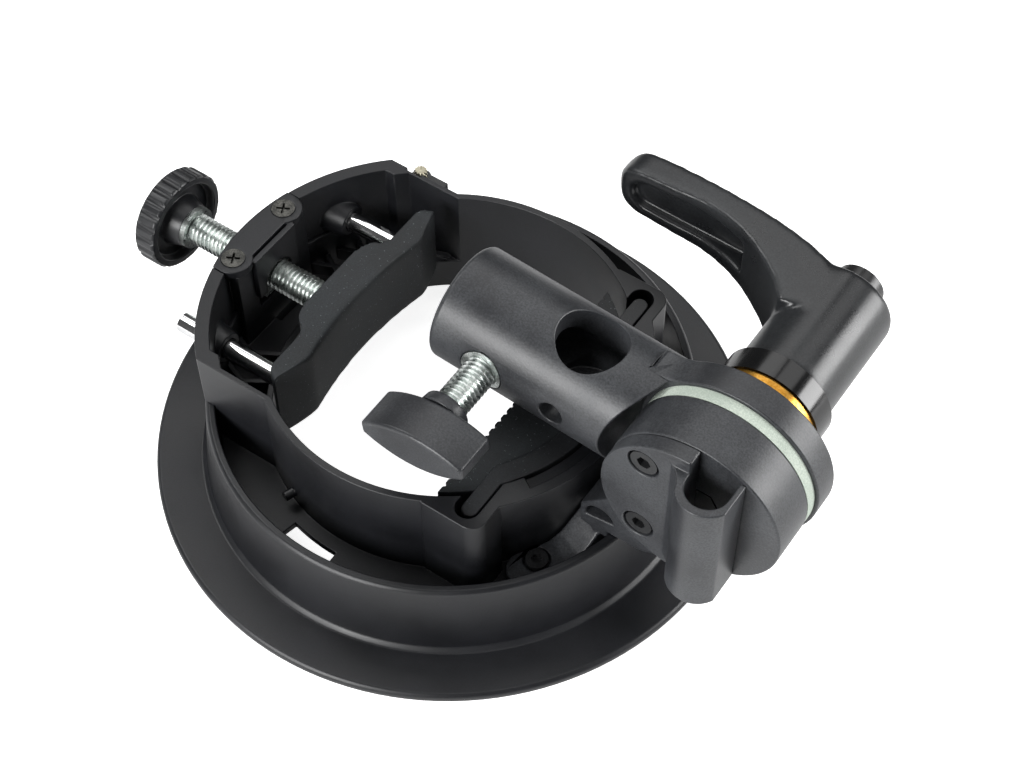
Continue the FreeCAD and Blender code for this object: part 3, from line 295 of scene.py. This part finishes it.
def softened(name, node, voxel, rounds, looseness=None, trim=None):
    """The CAD node's shape melted to soft edges: remeshed, trimmed, then smoothed.

    Looseness gives each point's share of the smoothing, from 0 to 1.
    """
    pull = 0.5
    piece = piece_from(joined_copy(node), name)
    remesh = piece.modifiers.new("remesh", "REMESH")
    remesh.mode = "VOXEL"
    remesh.voxel_size = voxel * MM
    graph = bpy.context.evaluated_depsgraph_get()
    mesh = bpy.data.meshes.new_from_object(piece.evaluated_get(graph))
    piece.modifiers.clear()
    piece.data = mesh
    points = np.empty(len(mesh.vertices) * 3)
    mesh.vertices.foreach_get("co", points)
    points = points.reshape(-1, 3)
    if trim:
        trim(points)
    ends = np.empty(len(mesh.edges) * 2, dtype=int)
    mesh.edges.foreach_get("vertices", ends)
    ends = ends.reshape(-1, 2)
    count = np.bincount(ends.ravel(), minlength=len(points))
    share = pull if looseness is None else pull * looseness(points)[:, None]
    for _ in range(rounds):
        total = np.stack([np.bincount(ends[:, 0], points[ends[:, 1], axis], len(points))
                          + np.bincount(ends[:, 1], points[ends[:, 0], axis], len(points))
                          for axis in range(3)], axis=1)
        points = points + share * (total / count[:, None] - points)
    mesh.vertices.foreach_set("co", points.ravel())
    mesh.shade_smooth()
    mesh.update()
    return piece


def off_the_back(points):
    """0 up to 0.6 mm in front of the pad's back faces, 1 from 2.2 mm in front of them."""
    flat_half_width = 10 * MM
    slope_width = 10 * MM
    slope_rise = 5 * MM
    held = 0.6 * MM
    loosens_over = 1.6 * MM
    low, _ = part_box("clamp_pad")
    step = np.clip((np.abs(points[:, 1]) - flat_half_width) / slope_width, 0, 1)
    back_x = low.x + slope_rise * step
    return np.clip((points[:, 0] - back_x - held) / loosens_over, 0, 1)


def slanted_ends(points):
    """Draws the front of the pad's two ends back on a slant, in place."""
    middle_half_width = 21 * MM
    set_back = 1.6 * MM
    slant = 0.32
    past = np.clip(np.abs(points[:, 1]) - middle_half_width, 0, None)
    _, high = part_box("clamp_pad")
    front = high.x - set_back - slant * past
    points[:, 0] = np.where(past > 0, np.minimum(points[:, 0], front), points[:, 0])


soft_pad = softened("soft_pad", "clamp_pad", 0.5, 22, off_the_back, slanted_ends)
fit(soft_pad, rubber, "pad_carriage", "soft_rubber", "clamp_pad")
chrome = surface("chrome", "#d8d9da", "#eeeeee", 0.09, 0.8, 0.001, metallic=1.0)
finish_node(chrome, "guide_rods")
black_steel = surface("black_steel", "#1a1a1b", "#2b2c2d", 0.32, 0.5, 0.008)
finish_node(black_steel, "pad_backing", "rod_clips")


# Fixed pad: a toothed rubber block, held by a carrier strip whose two ends
# slide down into the slots of the ring.
strip_rubber = surface("strip_rubber", "#1b1c1e", "#27292c", 0.5, 0.4, 0.012, flecks="#4a4d50")
strip = rounded("strip", "pad_carrier", 0.3)
fit(strip, strip_rubber, "bracket", "soft_rubber", "pad_carrier")
toothed_pad = rounded("toothed_pad", "fixed_pad", 0.18)
fit(toothed_pad, rubber, "bracket", "soft_rubber", "fixed_pad")


# Support: die-cast aluminium with a coarse powder coat.  Its two legs stand
# in the trough, and it ends in the fixed half of the tilting joint.
powder_coat = surface("powder_coat", "#26272a", "#3f4144", 0.4, 0.45, 0.03)
support = rounded("support", "support_bracket", 0.5)
fit(support, powder_coat, "bracket", "coated_casting", "support_bracket")
finish_node(black_steel, "bracket_screws")


# Cover of the fixed disc, with the half-open umbrella socket, and its two
# socket-head screws.
holder = rounded("holder", "umbrella_cover", 0.4)
fit(holder, powder_coat, "bracket", "coated_casting", "umbrella_cover")
finish_node(black_steel, "umbrella_cover_screws")


# Friction washer between the two discs: pale grey-green fibre.
fibre = surface("fibre", "#a9b5a9", "#cbd4c8", 0.85, 0.35, 0.02)
finish_node(fibre, "friction_washer")


# Stand socket: one die casting of the tube and the turning disc, with a steel
# thread insert for the clamp screw.
socket = rounded("socket", "stand_socket", 0.45)
fit(socket, powder_coat, "tilt_head", "coated_casting", "stand_socket")
finish_node(zinc_plate, "thread_inserts")


# Stand clamp screw: zinc-plated M8 rod with a cast wing knob.
low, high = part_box("stand_screw")
middle = (low + high) / 2
stand_rod = threaded_rod("stand_rod", Vector((middle.x, low.y, middle.z)), (0, 1, 0),
                         high.y - low.y, screw_radius, screw_pitch)
fit(stand_rod, zinc_plate, "stand_wing", "zinc_steel", "stand_screw")
wing = rounded("wing", "stand_knob", 0.4)
fit(wing, powder_coat, "stand_wing", "coated_casting", "stand_knob")


# Pivot stack: turned brass washer, glossy spacer and the hidden bolt.
brass = surface("brass", "#b07a2c", "#d9a750", 0.3, 0.6, 0.004, metallic=1.0)
finish_node(brass, "brass_washer")
gloss = surface("gloss", "#0c0c0d", "#131314", 0.16, 0.6, 0.002)
finish_node(gloss, "spacer_ring")
finish_node(black_steel, "pivot_bolt", "lever_insert", "lever_spring")


# Clamping lever: a casting in a smoother and darker coat than the head, with
# its arm across a hub on the pivot.  A cap screw in the hub's end holds it
# down on its splined core.
lever = softened("lever", "lever_handle", 0.36, 30)
lever_coat = surface("lever_coat", "#1b1c1e", "#2d2f31", 0.3, 0.45, 0.016)
fit(lever, lever_coat, "lever_grip", "coated_casting", "lever_handle")
finish_node(black_steel, "lever_cap_screw")


# Bayonet lock: a sprung steel pin with a diamond-knurled head, and a tab that
# keeps it from turning.
low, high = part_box("lock_pin")
middle = (low + high) / 2
head_low = 30.0 * MM
head_radius = 1.75 * MM
neck_radius = 1.2 * MM
knurl_depth = 0.32 * MM
knurl_ridges = 6
knurl_climb = 2600  # radians of the pattern for each metre of height
chamfer = 0.3 * MM
chamfer_slope = 0.7
columns, rows = 108, 76
turns = [math.tau * column / columns for column in range(columns)]
bm = bmesh.new()
grid = []
for row in range(rows + 1):
    height = head_low + (high.z - head_low) * row / rows
    edge = min(row, rows - row) / rows * (high.z - head_low)
    rise = knurl_climb * height
    loop = []
    for turn in turns:
        ridge = (abs(math.sin(knurl_ridges * turn + rise))
                 * abs(math.sin(knurl_ridges * turn - rise)))
        reach = (head_radius - knurl_depth * (1 - ridge)
                 - max(0.0, chamfer - edge) * chamfer_slope)
        loop.append(bm.verts.new((middle.x + reach * math.cos(turn),
                                  middle.y + reach * math.sin(turn), height)))
    grid.append(loop)
for lower, upper in zip(grid, grid[1:]):
    skin(bm, lower, upper)
bm.faces.new(grid[-1])
upper, lower = [[bm.verts.new((middle.x + neck_radius * math.cos(turn),
                               middle.y + neck_radius * math.sin(turn), height))
                 for turn in turns] for height in (head_low, low.z)]
skin(bm, upper, grid[0])
skin(bm, lower, upper)
bm.faces.new(lower[::-1])
bmesh.ops.recalc_face_normals(bm, faces=bm.faces)
lock_plunger = piece_from(bm, "lock_plunger")
warm_nickel = surface("warm_nickel", "#8f8a78", "#c9c3ae", 0.36, 0.5, 0.006, metallic=1.0,
                      cloud=3.0)
fit(lock_plunger, warm_nickel, "lock_plunger", "zinc_steel", "lock_pin")
finish_node(black_steel, "lock_tab")
finish_node(zinc_plate, "lock_clip", "lock_spring")


# Stage: white paper below, six soft lamps round the object and a faint white
# sky.  The strongest lamps stand low on both sides.  The camera stands where
# the photograph's did.
sheet_size = 6.0
floor_drop = 0.05 * MM
paper_glow = 0.85
glow_in_reflections = 0.25
sky_strength = 0.1
lamp_distance = 0.9
bm = bmesh.new()
bmesh.ops.create_grid(bm, x_segments=1, y_segments=1, size=sheet_size)
bmesh.ops.translate(bm, vec=(0, 0, -floor_drop), verts=bm.verts)
floor = piece_from(bm, "floor")
paper = bpy.data.materials.new("white_paper")
paper.use_nodes = True
tree = paper.node_tree
tree.nodes.clear()
ray = add(tree, "ShaderNodeLightPath", {})
reflected = add(tree, "ShaderNodeMath",
                {0: ray.outputs["Is Glossy Ray"], 1: glow_in_reflections}, operation="MULTIPLY")
seen = add(tree, "ShaderNodeMath", {0: ray.outputs["Is Camera Ray"], 1: reflected.outputs[0]},
           operation="MAXIMUM")
glow = add(tree, "ShaderNodeMath", {0: seen.outputs[0], 1: paper_glow}, operation="MULTIPLY")
lit = add(tree, "ShaderNodeEmission",
          {"Color": linear("#ffffff"), "Strength": glow.outputs[0]})
matt = add(tree, "ShaderNodeBsdfDiffuse", {"Color": linear("#f2f2f2")})
both = add(tree, "ShaderNodeAddShader", {0: lit.outputs[0], 1: matt.outputs[0]})
add(tree, "ShaderNodeOutputMaterial", {"Surface": both.outputs[0]})
floor.data.materials.append(paper)

sky = bpy.data.worlds.new("sky")
sky.use_nodes = True
bpy.context.scene.world = sky
background = sky.node_tree.nodes["Background"]
background.inputs["Color"].default_value = linear("#ffffff")
background.inputs["Strength"].default_value = sky_strength


def softbox(name, place, aim, size, power):
    """Square lamp that faces a point."""
    lamp = bpy.data.lights.new(name, "AREA")
    lamp.size = size
    lamp.energy = power
    stand = bpy.data.objects.new(name, lamp)
    facing = (aim - place).to_track_quat("-Z", "Y").to_matrix().to_4x4()
    stand.matrix_world = Matrix.Translation(place) @ facing
    bpy.context.scene.collection.objects.link(stand)


middle = Vector((20, 20, 30)) * MM
for name, azimuth, elevation, size, power in (
        ("key", -100, 22, 0.4, 8.5),
        ("top", -55, 88, 0.5, 1.0),
        ("back left", -175, 50, 0.4, 2.2),
        ("back", 125, 56, 0.5, 1.5),
        ("back right", 65, 55, 0.4, 0.8),
        ("right", 30, 19, 0.45, 7.5)):
    way = (Matrix.Rotation(math.radians(azimuth), 3, "Z")
           @ Matrix.Rotation(math.radians(-elevation), 3, "Y"))
    softbox(name, middle + way @ Vector((lamp_distance, 0, 0)), middle, size, power)

azimuth = math.radians(35.02)
elevation = math.radians(53.74)
roll = math.radians(-0.41)
target = Vector((2.40, 22.19, 0)) * MM
distance = 512.98 * MM
back = Vector((math.sin(azimuth) * math.cos(elevation),
               -math.cos(azimuth) * math.cos(elevation), math.sin(elevation)))
right = Vector((math.cos(azimuth), math.sin(azimuth), 0))
up = back.cross(right)
right, up = (right * math.cos(roll) + up * math.sin(roll),
             up * math.cos(roll) - right * math.sin(roll))
lens = bpy.data.cameras.new("camera")
lens.sensor_fit = "HORIZONTAL"
lens.sensor_width = 36.0
lens.lens = 70.33
lens.clip_start = 0.01
camera = bpy.data.objects.new("camera", lens)
place = target + back * distance
camera.matrix_world = Matrix(((right.x, up.x, back.x, place.x),
                              (right.y, up.y, back.y, place.y),
                              (right.z, up.z, back.z, place.z),
                              (0, 0, 0, 1)))
bpy.context.scene.collection.objects.link(camera)
bpy.context.scene.camera = camera
bpy.context.scene.view_settings.view_transform = "Standard"
